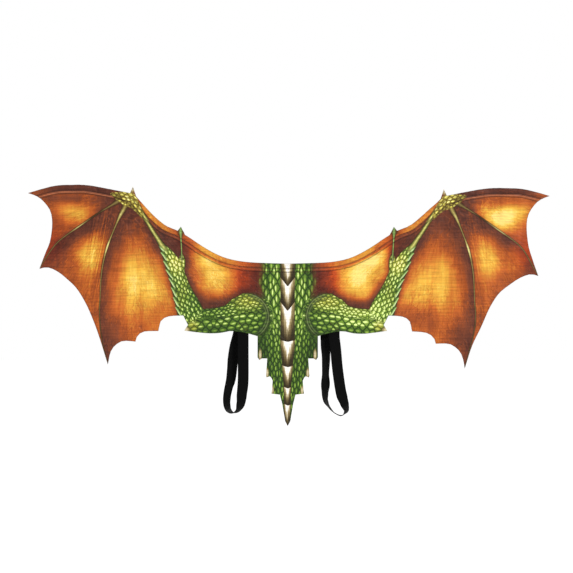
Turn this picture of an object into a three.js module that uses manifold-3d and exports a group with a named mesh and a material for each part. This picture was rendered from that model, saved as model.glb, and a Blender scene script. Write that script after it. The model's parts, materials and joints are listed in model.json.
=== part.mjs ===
// Dragon wings: a costume piece that is worn on the back.
// One printed cloth holds both wings, the body and the tail, seen from its printed side along +Y.
// A strip of the same cloth is sewn behind the whole top edge, and two loops of black elastic
// hang behind the shoulders for the wearer's arms.
// X runs to the wearer's right as seen here, Y away from the printed side, Z up.
// The origin is on the back of the cloth, where it lies between the shoulder blades.

import * as THREE from 'three';
import { mergeVertices } from 'three/addons/utils/BufferGeometryUtils.js';
import Module from 'manifold-3d';

const wasm = await Module();
wasm.setup();

// Driving dimensions, in millimetres
const span = 1200; // wing tip to wing tip
const wing_height = 412; // from the top of the leading edge to the lowest claw of a wing
const tail_length = 372; // from the neck edge to the tip of the tail
const body_width = 138; // across the body at the root of the tail
const cloth_thick = 1.6; // the printed cloth with its backing
const hem_thick = 1.2; // the strip behind the top edge
const hem_width = 21; // from the top edge to the strip's lower edge
const seam_gap = 0.3; // kept between layers that are sewn together
const strap_width = 25; // the elastic's width
const strap_thick = 1.5; // the elastic's thickness
const strap_drop = 195; // how far a loop hangs below the wing's lower edge
const strap_from_middle = 104; // from the middle of the body to where a loop is sewn on
const loop_width = 40; // the scale of a loop's sideways swing
const loop_depth = 34; // the scale of a loop's distance behind the cloth
const sewn_length = 22; // the length of a loop's end that is sewn down
const worn_below_neck = 62; // from the neck edge down to the origin

// How the cloth hangs, in millimetres
const tip_sweep = 34; // the wing tips lie this far behind the shoulders
const body_arch = 10; // the body stands forward by this much
const billow = 7; // the membrane lies this far behind the bones
const tail_curl = 12; // the tip of the tail hangs back by this much

// How finely the cloth is divided, in millimetres
const cloth_step = 20;
const edge_step = 11;
const strap_step = 10;

const half_span = span / 2;
const half_body = body_width / 2;
const lower_edge = -0.376 * wing_height; // the arm's lower edge beside the body

// Turns a table's rows into objects that are read by the names of its columns.
const table = (columns, rows) =>
  rows.map((row) => Object.fromEntries(columns.map((name, i) => [name, row[i]])));

// The edge of one wing, from the neck outwards and back to the body.
// A row with a corner's name is a sharp point, and the rows between corners lie on a smooth curve.
// Across is a share of half the span, and up is a share of the wing's height above the neck.
const wing_edge = table(['corner', 'across', 'up'], [
  ['neck', 0, 0],
  ['', 0.076, 0.003],
  ['', 0.145, 0.008],
  ['', 0.19, 0.016],
  ['', 0.237, 0.032],
  ['', 0.283, 0.061],
  ['', 0.329, 0.1],
  ['', 0.375, 0.145],
  ['', 0.42, 0.183],
  ['', 0.467, 0.213],
  ['', 0.513, 0.269],
  ['', 0.552, 0.329],
  ['knuckle', 0.588, 0.389],
  ['', 0.674, 0.414],
  ['', 0.766, 0.438],
  ['', 0.835, 0.4405],
  ['', 0.888, 0.437],
  ['', 0.94, 0.42],
  ['first tip', 0.997, 0.396],
  ['', 0.965, 0.379],
  ['', 0.938, 0.35],
  ['', 0.911, 0.294],
  ['', 0.904, 0.22],
  ['', 0.912, 0.127],
  ['', 0.93, 0.06],
  ['second tip', 0.953, -0.028],
  ['', 0.921, -0.02],
  ['', 0.881, -0.045],
  ['', 0.842, -0.091],
  ['', 0.81, -0.137],
  ['', 0.781, -0.202],
  ['', 0.758, -0.269],
  ['', 0.727, -0.385],
  ['third tip', 0.688, -0.564],
  ['', 0.681, -0.504],
  ['', 0.67, -0.47],
  ['', 0.655, -0.448],
  ['', 0.629, -0.43],
  ['first cusp', 0.583, -0.434],
  ['', 0.577, -0.406],
  ['', 0.561, -0.384],
  ['', 0.539, -0.376],
  ['second cusp', 0.495, -0.375],
  ['', 0.486, -0.32],
  ['', 0.466, -0.298],
  ['', 0.439, -0.29],
  ['elbow', 0.399, -0.288],
  ['elbow claw root', 0.381, -0.34],
  ['elbow claw', 0.395, -0.372],
  ['elbow underside', 0.354, -0.38],
  ['', 0.304, -0.387],
  ['', 0.258, -0.385],
  ['', 0.214, -0.374],
  ['', 0.16, -0.385],
  ['armpit', 0.112, -0.404],
]);

// How the right wing hangs: near each of these places it lies further out and lower than the left
// wing's mirror image, by these shares of half the span.
const right_wing_hang = table(['near', 'across', 'up', 'out', 'lower'], [
  ['neck', 0, 0, 0, 0],
  ['thumb', 0.42, 0.18, -0.003, 0],
  ['forearm', 0.51, 0.27, 0, 0.001],
  ['knuckle', 0.588, 0.389, 0.006, 0.011],
  ['first tip', 0.997, 0.396, 0.009, 0.011],
  ['outer edge', 0.905, 0.22, 0.014, 0.016],
  ['second tip', 0.953, -0.028, 0.009, 0.028],
  ['rear edge', 0.75, -0.3, 0.001, 0.02],
  ['third tip', 0.688, -0.564, -0.01, 0.016],
  ['scallop', 0.64, -0.434, -0.012, 0.013],
  ['first cusp', 0.583, -0.434, -0.018, 0.007],
  ['second cusp', 0.495, -0.375, -0.021, 0],
  ['elbow', 0.399, -0.288, -0.014, 0],
  ['armpit', 0.112, -0.404, 0, 0],
]);

// The small claws that stand up from the top edge: two root points and a tip each.
const top_claws = table(['root_a', 'up_a', 'tip', 'up_tip', 'root_b', 'up_b'], [
  [0.578, 0.365, 0.592, 0.43, 0.605, 0.387],
  [0.389, 0.15, 0.408, 0.206, 0.427, 0.172],
]);

// Half of the body below the wings, down to the tip of the tail, with its three pairs of spikes.
// Across is a share of half the body's width, and down is a share of the tail's length.
const tail_edge = table(['across', 'down'], [
  [1, 0.3],
  [1, 0.576],
  [0.94, 0.592],
  [0.86, 0.583],
  [0.68, 0.583],
  [0.7, 0.635],
  [0.72, 0.69],
  [0.7, 0.7],
  [0.6, 0.693],
  [0.55, 0.7],
  [0.5, 0.72],
  [0.52, 0.77],
  [0.54, 0.8],
  [0.26, 0.806],
  [0.18, 0.865],
  [0.13, 0.92],
  [0.085, 0.97],
  [0, 1],
]);

// The stiffest lines of the cloth: the membrane sinks back between them.
// Each row is a straight run with a round half width at each end, in shares of half the span,
// and its heights in shares of the wing's height.
const bones = table(['across_a', 'up_a', 'half_a', 'across_b', 'up_b', 'half_b'], [
  [0, -0.185, 0.15, 0.165, -0.2, 0.132],
  [0.165, -0.2, 0.132, 0.336, -0.3, 0.057],
  [0.336, -0.3, 0.057, 0.4, -0.13, 0.036],
  [0.4, -0.13, 0.036, 0.452, 0.01, 0.026],
  [0.452, 0.01, 0.02, 0.528, 0.2, 0.01],
  [0.528, 0.2, 0.01, 0.612, 0.356, 0.016],
  [0, -0.01, 0.01, 0.24, -0.02, 0.01],
  [0.24, -0.02, 0.01, 0.41, 0.16, 0.01],
  [0.41, 0.16, 0.01, 0.588, 0.36, 0.01],
  [0.612, 0.37, 0.016, 0.8, 0.42, 0.008],
  [0.8, 0.42, 0.008, 0.99, 0.39, 0.004],
  [0.64, 0.34, 0.01, 0.8, 0.205, 0.008],
  [0.8, 0.205, 0.008, 0.905, 0.07, 0.004],
  [0.905, 0.07, 0.004, 0.95, -0.024, 0.002],
  [0.62, 0.32, 0.012, 0.68, 0.15, 0.01],
  [0.68, 0.15, 0.01, 0.715, -0.07, 0.008],
  [0.715, -0.07, 0.008, 0.718, -0.26, 0.006],
  [0.718, -0.26, 0.006, 0.69, -0.55, 0.002],
]);
const billow_reach = 38; // the distance from a bone over which the membrane sinks

// The route of each loop of elastic, from the end behind the hem round to the end on the arm.
// Rows on the wing count down from the neck edge to the arm's lower edge, and rows on the loop
// from there to the loop's lowest point. Out is away from the middle, in loop widths, behind is
// in loop depths, and turn is how far the elastic's width has turned from flat, in degrees.
const strap_columns = ['on', 'down', 'out', 'behind', 'turn'];
const left_strap = table(strap_columns, [
  ['wing', 0.17, 0.1, 0.12, 0],
  ['wing', 0.6, 0.12, 0.5, 0],
  ['wing', 1, 0.21, 0.7, 6],
  ['loop', 0.17, 0.42, 0.74, 10],
  ['loop', 0.32, 0.545, 0.76, 16],
  ['loop', 0.46, 0.605, 0.78, 24],
  ['loop', 0.58, 0.68, 0.78, 30],
  ['loop', 0.67, 0.8, 0.78, 42],
  ['loop', 0.77, 0.89, 0.76, 47],
  ['loop', 0.86, 0.9, 0.72, 52],
  ['loop', 0.93, 0.8, 0.66, 58],
  ['loop', 0.965, 0.56, 0.56, 68],
  ['loop', 0.935, 0.26, 0.46, 62],
  ['loop', 0.85, 0.09, 0.38, 38],
  ['loop', 0.74, 0.03, 0.3, 20],
  ['loop', 0.6, -0.04, 0.22, 4],
  ['loop', 0.22, -0.046, 0.12, 0],
]);
const right_strap = table(strap_columns, [
  ['wing', 0.17, 0, 0.12, 0],
  ['wing', 0.6, -0.1, 0.5, 0],
  ['wing', 1, -0.4, 0.7, 10],
  ['loop', 0.14, -0.42, 0.74, 24],
  ['loop', 0.32, -0.4, 0.76, 42],
  ['loop', 0.5, -0.425, 0.78, 50],
  ['loop', 0.625, -0.43, 0.78, 36],
  ['loop', 0.74, -0.455, 0.76, 54],
  ['loop', 0.82, -0.42, 0.72, 64],
  ['loop', 0.9, -0.2, 0.66, 80],
  ['loop', 0.962, 0.09, 0.58, 90],
  ['loop', 0.992, 0.5, 0.48, 90],
  ['loop', 0.94, 0.77, 0.38, 66],
  ['loop', 0.84, 0.64, 0.3, 36],
  ['loop', 0.74, 0.48, 0.26, 8],
  ['loop', 0.46, 0.264, 0.18, 0],
  ['loop', 0.2, 0.14, 0.12, 0],
  ['loop', 0.06, 0.06, 0.1, 0],
]);

// Where a point of the left wing lies on a side: side is -1 on the left and 1 on the right.
const ease = (low, high, value) => THREE.MathUtils.smoothstep(value, low, high);
const hang_spread = 0.06 * half_span;
const placed = (side, x, z) => {
  if (side < 0) return new THREE.Vector2(-x, z);
  let [all, out, lower] = [0, 0, 0];
  for (const row of right_wing_hang) {
    const away = Math.hypot(row.across * half_span - x, row.up * wing_height - z);
    const weight = 1 / (away ** 2 + hang_spread ** 2) ** 1.5;
    all += weight;
    out += weight * row.out * half_span;
    lower += weight * row.lower * half_span;
  }
  return new THREE.Vector2(x + out / all, z - lower / all);
};

// Points along an edge table: smooth curves between the named corners.
const edge_points = (rows, side) => {
  const points = [];
  let stretch = [];
  for (const row of rows) {
    stretch.push(new THREE.Vector2(row.across * half_span, row.up * wing_height));
    if (row.corner === '' || stretch.length < 2) continue;
    const curve = new THREE.SplineCurve(stretch);
    const steps = stretch.length === 2 ? 1 : Math.max(3, Math.round(curve.getLength() / edge_step));
    points.push(...curve.getSpacedPoints(steps).slice(0, -1));
    stretch = [stretch.at(-1)];
  }
  points.push(stretch[0]);
  return points.map((point) => placed(side, point.x, point.y));
};

// A solid of manifold-3d from a three.js geometry, and back again.
const solid = (geometry) => {
  const bare = geometry.clone();
  bare.deleteAttribute('normal');
  bare.deleteAttribute('uv');
  const joined = mergeVertices(bare, 1e-4);
  return new wasm.Manifold(
    new wasm.Mesh({
      numProp: 3,
      vertProperties: new Float32Array(joined.attributes.position.array),
      triVerts: new Uint32Array(joined.index.array),
    }),
  );
};
const geometry_of = (manifold) => {
  const mesh = manifold.getMesh();
  const geometry = new THREE.BufferGeometry();
  geometry.setAttribute('position', new THREE.BufferAttribute(mesh.vertProperties, 3));
  geometry.setIndex(new THREE.BufferAttribute(mesh.triVerts, 1));
  return geometry;
};

// A solid that stands through the whole cloth, along Y, with an outline in X and Z.
const reach_through = span / 4;
const cutter = (outline) => {
  const shape = new THREE.Shape(outline);
  const geometry = new THREE.ExtrudeGeometry(shape, { depth: 2 * reach_through, bevelEnabled: false });
  geometry.rotateX(Math.PI / 2);
  geometry.translate(0, reach_through, 0);
  return solid(geometry);
};

// The depth of the cloth behind the shoulders, without its billows.
const flat_half = 0.25 * half_span;
const arch_reach = 0.25 * half_span;
const rest_depth = (x, z) => {
  const out = Math.max(0, Math.abs(x) - flat_half) / (half_span - flat_half);
  const down = Math.max(0, lower_edge - z) / (tail_length + lower_edge);
  const near_body = Math.exp(-((x / arch_reach) ** 2));
  return tip_sweep * out ** 1.6 - body_arch * near_body + tail_curl * near_body * down ** 2;
};

const bone_runs = [-1, 1].flatMap((side) =>
  bones.map((bone) => ({
    start: placed(side, bone.across_a * half_span, bone.up_a * wing_height),
    end: placed(side, bone.across_b * half_span, bone.up_b * wing_height),
    start_half: bone.half_a * half_span,
    end_half: bone.half_b * half_span,
  })),
);
const from_bone = (x, z) => {
  const point = new THREE.Vector2(x, z);
  const near = bone_runs.map((bone) => {
    const along = bone.end.clone().sub(bone.start);
    const share = point.clone().sub(bone.start).dot(along) / along.lengthSq();
    const held = THREE.MathUtils.clamp(share, 0, 1);
    const closest = bone.start.clone().addScaledVector(along, held);
    return closest.distanceTo(point) - THREE.MathUtils.lerp(bone.start_half, bone.end_half, held);
  });
  return Math.max(0, Math.min(...near));
};
const cloth_depth = (x, z) => {
  const on_wing = ease(lower_edge - 0.5 * half_body, lower_edge, z) + ease(half_body, 2 * half_body, Math.abs(x));
  const sunk = 1 - Math.exp(-((from_bone(x, z) / billow_reach) ** 2));
  return rest_depth(x, z) + billow * sunk * Math.min(1, on_wing);
};

// A layer of cloth between two distances behind the middle of the printed cloth.
const layer = (front, back) => {
  const width = 1.04 * span;
  const top = 0.5 * wing_height;
  const bottom = -1.02 * Math.max(tail_length, 0.7 * wing_height);
  const geometry = new THREE.BoxGeometry(
    width,
    back - front,
    top - bottom,
    Math.round(width / cloth_step),
    1,
    Math.round((top - bottom) / cloth_step),
  );
  geometry.translate(0, (front + back) / 2, (top + bottom) / 2);
  const place = geometry.attributes.position;
  for (let i = 0; i < place.count; i++) {
    place.setY(i, place.getY(i) + cloth_depth(place.getX(i), place.getZ(i)));
  }
  // The printed face's squares are split along the same diagonals as the back's, so that the
  // cloth is equally thick everywhere and two layers lie parallel.
  const printed = geometry.groups[3];
  for (let i = printed.start; i < printed.start + printed.count; i += 6) {
    const [a, b, d, c] = [0, 1, 2, 4].map((k) => geometry.index.getX(i + k));
    [a, b, c, a, c, d].forEach((corner, k) => geometry.index.setX(i + k, corner));
  }
  return solid(geometry);
};

// The whole front outline: two wings, their top claws, and the body with its tail.
const wing_outline = (side) => {
  const edge = edge_points(wing_edge, side);
  edge.push(new THREE.Vector2(0, edge.at(-1).y));
  return side < 0 ? edge : edge.reverse();
};
const claw_outline = (claw, side) => {
  const corners = [
    placed(side, claw.root_a * half_span, claw.up_a * wing_height),
    placed(side, claw.tip * half_span, claw.up_tip * wing_height),
    placed(side, claw.root_b * half_span, claw.up_b * wing_height),
  ];
  return side < 0 ? corners : corners.reverse();
};
const tail_outline = () => {
  const side = (sign) =>
    tail_edge.map((row) => new THREE.Vector2(sign * row.across * half_body, -row.down * tail_length));
  return [...side(-1), ...side(1).reverse().slice(1)];
};
const outline = [-1, 1]
  .flatMap((side) => [wing_outline(side), ...top_claws.map((claw) => claw_outline(claw, side))])
  .concat([tail_outline()])
  .map(cutter)
  .reduce((all, next) => all.add(next));

const half_cloth = cloth_thick / 2;
const wing_sheet = layer(-half_cloth, half_cloth).intersect(outline);

// The strip behind the top edge: the edge's curve and the same curve moved inwards.
const top_rows = wing_edge.slice(0, wing_edge.findIndex((row) => row.corner === 'first tip') + 1);
const hem_outline = () => {
  const left = edge_points(top_rows, -1);
  const right = edge_points(top_rows, 1);
  const whole = [...left.reverse(), ...right.slice(1)];
  const curve = new THREE.SplineCurve(whole);
  const stations = Math.round(curve.getLength() / (2 * hem_width));
  const inner = [];
  for (let i = 0; i <= stations; i++) {
    const along = i / stations;
    const heading = curve.getTangentAt(along);
    const inwards = new THREE.Vector2(heading.y, -heading.x);
    inner.push(curve.getPointAt(along).addScaledVector(inwards, hem_width));
  }
  return [...whole, ...inner.reverse()];
};
const hem_front = half_cloth + seam_gap;
const top_hem = layer(hem_front, hem_front + hem_thick).intersect(cutter(hem_outline()).intersect(outline));

// A loop of elastic, bent and turned along its route behind the cloth.
const strap = (rows, side) => {
  const stations = rows.map((row) => {
    const z = row.on === 'wing' ? row.down * lower_edge : lower_edge - row.down * strap_drop;
    const x = side * (strap_from_middle + row.out * loop_width);
    return { point: new THREE.Vector3(x, row.behind * loop_depth, z), turn: row.turn };
  });
  const sewn_front = half_cloth + seam_gap + strap_thick / 2;
  const on_hem = hem_front + hem_thick + seam_gap + strap_thick / 2;
  const end_x = stations.at(-1).point.x;
  stations.unshift({ point: stations[0].point.clone(), turn: 0 });
  stations[0].point.set(stations[1].point.x, on_hem, -0.12 * hem_width);
  stations[1].point.set(stations[1].point.x, on_hem, -0.12 * hem_width - sewn_length);
  stations.push(
    { point: new THREE.Vector3(end_x, sewn_front, lower_edge), turn: 0 },
    { point: new THREE.Vector3(end_x, sewn_front, lower_edge + sewn_length), turn: 0 },
  );
  const route = new THREE.CatmullRomCurve3(stations.map((station) => station.point), false, 'centripetal');
  const length = route.getLength();
  const geometry = new THREE.BoxGeometry(strap_width, strap_thick, length, 2, 1, Math.round(length / strap_step));
  const place = geometry.attributes.position;
  for (let i = 0; i < place.count; i++) {
    const along = THREE.MathUtils.clamp(place.getZ(i) / length + 0.5, 0, 1);
    const share = route.getUtoTmapping(along) * (stations.length - 1);
    const from = Math.min(Math.floor(share), stations.length - 2);
    const turn = THREE.MathUtils.degToRad(
      THREE.MathUtils.lerp(stations[from].turn, stations[from + 1].turn, ease(0, 1, share - from)),
    );
    const heading = route.getTangentAt(along);
    const layer_y = along < 0.5 ? on_hem : sewn_front;
    const flat = new THREE.Vector3(Math.cos(turn), Math.sin(turn), 0);
    const wide = flat.addScaledVector(heading, -flat.dot(heading)).normalize();
    const outward = heading.clone().cross(wide);
    const point = route.getPointAt(along);
    point.setY(Math.max(point.y, layer_y));
    point.addScaledVector(wide, place.getX(i)).addScaledVector(outward, place.getY(i));
    place.setXYZ(i, point.x, point.y + rest_depth(point.x, Math.max(point.z, lower_edge)), point.z);
  }
  return geometry;
};

const printed_cloth = new THREE.MeshStandardMaterial({ color: 0xb0622a, roughness: 0.7, metalness: 0 });
const plain_cloth = new THREE.MeshStandardMaterial({ color: 0xd9cbb4, roughness: 0.8, metalness: 0 });
const elastic = new THREE.MeshStandardMaterial({ color: 0x141414, roughness: 0.8, metalness: 0 });

const group = new THREE.Group();
group.position.set(0, -(rest_depth(0, 0) + half_cloth), worn_below_neck);
const part = (name, geometry, material) => {
  const mesh = new THREE.Mesh(geometry, material);
  mesh.name = name;
  group.add(mesh);
};
part('wing_sheet', geometry_of(wing_sheet), printed_cloth);
part('top_hem', geometry_of(top_hem), plain_cloth);
part('strap_left', strap(left_strap, -1), elastic);
part('strap_right', strap(right_strap, 1), elastic.clone());

export default group;
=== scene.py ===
# %% [markdown]
# # Dragon wings for a costume
# The real thing is one piece of printed polyester cloth, 1.2 m from tip to tip, that lies flat
# across the wearer's back. The print shows bones, scales and glowing skin. A strip of cloth is sewn
# behind the whole top edge, and two loops of black elastic behind the shoulders take the arms.
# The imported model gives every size. This lesson dresses it: first the camera, then the cloth, the
# hem, the thread and the elastic, and at the end the light.

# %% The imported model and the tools
import json
import math

import bmesh
import bpy
import numpy as np
from mathutils import Matrix, Vector
from mathutils.bvhtree import BVHTree
from mathutils.kdtree import KDTree

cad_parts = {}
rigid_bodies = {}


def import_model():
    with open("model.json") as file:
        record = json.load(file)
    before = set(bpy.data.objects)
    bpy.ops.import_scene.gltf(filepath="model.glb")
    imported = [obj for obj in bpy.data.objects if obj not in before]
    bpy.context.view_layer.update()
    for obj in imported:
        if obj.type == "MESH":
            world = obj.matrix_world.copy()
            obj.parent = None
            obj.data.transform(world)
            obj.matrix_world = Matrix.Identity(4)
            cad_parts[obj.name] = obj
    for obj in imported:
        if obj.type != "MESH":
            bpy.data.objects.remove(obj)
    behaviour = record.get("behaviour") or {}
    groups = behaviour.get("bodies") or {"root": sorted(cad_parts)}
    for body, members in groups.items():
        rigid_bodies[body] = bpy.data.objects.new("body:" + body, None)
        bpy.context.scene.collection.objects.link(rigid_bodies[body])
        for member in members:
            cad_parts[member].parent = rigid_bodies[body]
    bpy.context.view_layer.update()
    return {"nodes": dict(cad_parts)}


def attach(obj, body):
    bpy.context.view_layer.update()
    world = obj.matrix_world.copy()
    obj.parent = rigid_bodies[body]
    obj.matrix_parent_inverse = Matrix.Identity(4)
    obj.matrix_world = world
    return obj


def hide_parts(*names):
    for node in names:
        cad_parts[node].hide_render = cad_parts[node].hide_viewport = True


for unused in list(bpy.data.objects):
    bpy.data.objects.remove(unused)
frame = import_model()
scene = bpy.context.scene
MM = 0.001  # metres in a millimetre
print("nodes", sorted(frame["nodes"]))

# %% [markdown]
# ## Camera
# The wings are seen square on from a few metres away, so their sides don't taper. One pixel of the
# photograph is 2.3 mm of cloth. The lens follows from that and from the distance.

# %% Camera
photo_side = 573  # pixels
photo_pixel = 2.288 * MM
camera_distance = 6.0
camera = bpy.data.objects.new("camera", bpy.data.cameras.new("camera"))
scene.collection.objects.link(camera)
camera.data.sensor_width = 36
camera.data.lens = camera.data.sensor_width * camera_distance / (photo_side * photo_pixel)
camera.location = (-2.8 * MM, -camera_distance, 9.8 * MM)
camera.rotation_euler = (math.radians(90), 0, 0)
scene.camera = camera
print("lens", round(camera.data.lens), "mm")

# %% [markdown]
# ## Small helpers
# One function turns the hex colours of a paint chart into the linear ones that nodes take. One adds
# a node: its kind and mode, the values or nodes that go into it, and a ramp's stops. One makes an
# object of a finished bmesh.


# %% Helpers
def colour(text):
    """The linear colour, with alpha, of an sRGB hex value."""
    shares = [int(text[i:i + 2], 16) / 255 for i in (1, 3, 5)]
    return [s / 12.92 if s <= 0.04045 else ((s + 0.055) / 1.055) ** 2.4 for s in shares] + [1.0]


mode_names = {"Mix": "data_type", "MapRange": "interpolation_type"}


def add(tree, kind, *inputs, stops=None, **settings):
    """Adds a node: its kind, after a space its mode, and its inputs, in order or by name. A node
    gives its first output in use, and text is a hex colour or the name of an attribute."""
    kind, _, mode = kind.partition(" ")
    node = tree.nodes.new("ShaderNode" + kind)
    if mode:
        setattr(node, mode_names.get(kind, "operation"), mode)
    for name, value in settings.items():
        setattr(node, name, value)
    named = inputs[0] if inputs and isinstance(inputs[0], dict) else dict(enumerate(inputs))
    for name, value in named.items():
        if isinstance(value, str) and value[0] == "#":
            value = colour(value)
        elif isinstance(value, str):
            value = add(tree, "Attribute", attribute_name=value).outputs["Fac"]
        if isinstance(value, bpy.types.Node):
            value = next(output for output in value.outputs if output.enabled)
        if isinstance(value, bpy.types.NodeSocket):
            tree.links.new(value, node.inputs[name])
        else:
            node.inputs[name].default_value = value
    if stops:
        places = node.color_ramp.elements
        places[0].position, places[-1].position = stops[0][0], stops[-1][0]
        for place, _ in stops[1:-1]:
            places.new(place)
        for element, (_, chart) in zip(places, stops):
            element.color = colour(chart)
    return node


def new_material(name):
    """An empty material and its node tree."""
    made = bpy.data.materials.new(name)
    made.use_nodes = True
    made.node_tree.nodes.clear()
    return made, made.node_tree


def new_piece(name, shape, *materials):
    """An object at the origin that shows a bmesh."""
    mesh = bpy.data.meshes.new(name)
    shape.to_mesh(mesh)
    shape.free()
    piece = bpy.data.objects.new(name, mesh)
    scene.collection.objects.link(piece)
    for made in materials:
        mesh.materials.append(made)
    for face in mesh.polygons:
        face.use_smooth = True
    print(name, len(mesh.vertices), "vertices", len(mesh.polygons), "faces")
    return piece


def places_of(mesh):
    """The places of a mesh's vertices, one row each."""
    flat = np.empty(3 * len(mesh.vertices))
    mesh.vertices.foreach_get("co", flat)
    return flat.reshape(-1, 3)


def store(mesh, fields):
    """Keeps numbers on a mesh's vertices, where a material reads them by name."""
    for name, values in fields.items():
        kept = mesh.attributes.new(name, "FLOAT", "POINT")
        kept.data.foreach_set("value", values.astype(np.float32))


# %% [markdown]
# ## The flat pattern
# The print is drawn for one wing and mirrored for the other, and the right wing hangs a little
# further out and lower than the left. So every drawing below is made on a flat pattern: across from
# the middle and up from the neck edge, in millimetres. A point of the worn right wing is first
# carried back to where it lay on the pattern. The table is the one that shaped the solid.

# %% From the worn cloth to the flat pattern
half_span, wing_height = 600.0, 412.0
neck_edge = 62.0  # the neck edge lies this far above the origin
right_wing_hang = np.array([
    # across, up, further out, lower
    (0, 0, 0, 0),
    (0.42, 0.18, -0.003, 0),
    (0.51, 0.27, 0, 0.001),
    (0.588, 0.389, 0.006, 0.011),
    (0.997, 0.396, 0.009, 0.011),
    (0.905, 0.22, 0.014, 0.016),
    (0.953, -0.028, 0.009, 0.028),
    (0.75, -0.3, 0.001, 0.02),
    (0.688, -0.564, -0.01, 0.016),
    (0.64, -0.434, -0.012, 0.013),
    (0.583, -0.434, -0.018, 0.007),
    (0.495, -0.375, -0.021, 0),
    (0.399, -0.288, -0.014, 0),
    (0.112, -0.404, 0, 0),
])
hang_spread = 0.06 * half_span


def hang_shift(across, up):
    """How far out and how much lower the right wing hangs at places of the pattern."""
    near_across = across[:, None] - right_wing_hang[:, 0] * half_span
    near_up = up[:, None] - right_wing_hang[:, 1] * wing_height
    weight = 1 / (near_across ** 2 + near_up ** 2 + hang_spread ** 2) ** 1.5
    weight /= weight.sum(axis=1, keepdims=True)
    return weight @ right_wing_hang[:, 2] * half_span, weight @ right_wing_hang[:, 3] * half_span


def on_pattern(points):
    """Where points of the worn cloth, in metres, lie on the flat pattern, in millimetres."""
    worn_across, worn_up = np.abs(points[:, 0]) / MM, points[:, 2] / MM - neck_edge
    right = points[:, 0] > 0
    across, up = worn_across.copy(), worn_up.copy()
    for _ in range(4):
        out, lower = hang_shift(across, up)
        across, up = worn_across - right * out, worn_up + right * lower
    return across, up


# %% [markdown]
# Bones and limbs follow smooth paths. A path is a few rows of across, up and half width. A curve
# through the rows is walked in small steps, and then every vertex learns how far along the path it
# lies, how far to its left or right, the half width there, and how far past the path's ends.


# %% Paths on the pattern
def walk(line):
    """How far along a line of points each of them lies."""
    return np.concatenate([[0], np.cumsum(np.linalg.norm(np.diff(line, axis=0), axis=1))])


def headings(line):
    """The direction in which a line of points runs at each of them, with length 1."""
    ahead = np.gradient(line, axis=0)
    return ahead / np.linalg.norm(ahead, axis=1, keepdims=True)


def smooth_path(rows, step=2.0):
    """A curve through the rows, with all their columns, in steps of about this many millimetres."""
    rows = np.array(rows, float)
    ends = np.vstack([2 * rows[0] - rows[1], rows, 2 * rows[-1] - rows[-2]])
    parts = []
    for a, b, c, d in zip(ends, ends[1:], ends[2:], ends[3:]):
        count = max(2, int(np.linalg.norm((c - b)[:2]) / step))
        t = (np.arange(count) / count)[:, None]
        parts.append(b + 0.5 * ((c - a) * t + (2 * a - 5 * b + 4 * c - d) * t ** 2
                                + (3 * b - a - 3 * c + d) * t ** 3))
    return np.vstack([*parts, rows[-1:]])


def beside_path(across, up, rows):
    """For each vertex: along the path, to its left, the half width, and the distance past its ends."""
    path = smooth_path(rows)
    away = (across[:, None] - path[:, 0]) ** 2 + (up[:, None] - path[:, 1]) ** 2
    near = np.argmin(away, axis=1)
    heading, walked = headings(path[:, :2]), walk(path[:, :2])
    off_across, off_up = across - path[near, 0], up - path[near, 1]
    ahead = off_across * heading[near, 0] + off_up * heading[near, 1]
    left = off_up * heading[near, 0] - off_across * heading[near, 1]
    along = walked[near] + ahead
    past = np.maximum(0, np.maximum(-along, along - walked[-1]))
    half = path[near, 2]
    return along, left, half, past


def spots(across, up, rows):
    """The sum of soft spots: rows of across, up, half width, half height, lean and strength."""
    total = 0
    for x, z, wide, tall, lean, strength in rows:
        turn = math.radians(lean)
        a, b = across - x, up - z
        side = a * math.cos(turn) + b * math.sin(turn)
        rise = b * math.cos(turn) - a * math.sin(turn)
        total = total + strength * np.exp(-(side / wide) ** 2 - (rise / tall) ** 2)
    return total


def fade(distance, width):
    """1 at no distance, and softly down to nothing beyond about this width."""
    return np.exp(-(distance / width) ** 2)


def step_up(low, high, values):
    """0 below low, 1 above high, and a smooth rise between."""
    share = np.clip((values - low) / (high - low), 0, 1)
    return share * share * (3 - 2 * share)


# %% [markdown]
# ## What the print shows
# Each wing has a limb with scales that bends at the elbow, a thin leading bone up to the knuckle,
# two long finger bones, and four panels of thin skin that glow where light comes through. The body
# has scales and a row of pale plates down its middle. This is the anatomy that any bat-like wing
# has, in a layout that the cut of the cloth asks for. The scales are a pattern of their own.

# %% Limbs and bones
forearm = [(356, 146, 8), (340, 126, 4.6), (325, 101, 3.9), (310, 75.5, 3.8), (298, 57, 4.4), (288, 41, 6.2),
           (277, 26, 10.5), (268, 10, 15), (259.5, -10, 17.5), (252, -30, 18), (245, -52, 19.5),
           (238, -72, 22.5), (230, -92, 26), (221, -115, 28), (214, -138, 22)]
upper_arm = [(95, -121, 53), (112, -124, 46), (130, -129, 37.5), (150, -132, 33), (175, -134, 31),
             (200, -136, 30), (222, -140, 20)]
thumb_root = [(256, -34, 12), (247, -12, 10), (243, 8, 7.5), (243, 20, 3)]
finger_2 = [(380, 150, 8), (392, 142, 6), (406, 133.5, 3.2), (437, 115, 2.2), (482, 84.4, 2.1),
            (525, 53.6, 1.6), (548, 27, 1.4), (571, -10, 1)]
finger_3 = [(370, 138, 8.5), (377, 124, 6), (386, 108, 3.8), (400, 76, 2.3), (414.5, 39, 2.5),
            (422.7, 8.3, 2.3), (428.7, -30.6, 1.8), (431.3, -82, 1.5), (432.6, -107.6, 1.4),
            (430, -151.6, 1.3), (424, -188.4, 1.1), (412, -230.5, 1)]
thumb = [(243, 10, 3), (243, 22, 2.1), (244, 45, 2), (245, 62, 3), (245.5, 74, 7), (245, 86, 1.5)]
knuckle = [(403, 160, 4), (388, 155, 10), (368, 149, 17), (352, 137, 12), (341, 121, 6.5), (334, 108, 4)]
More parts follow.
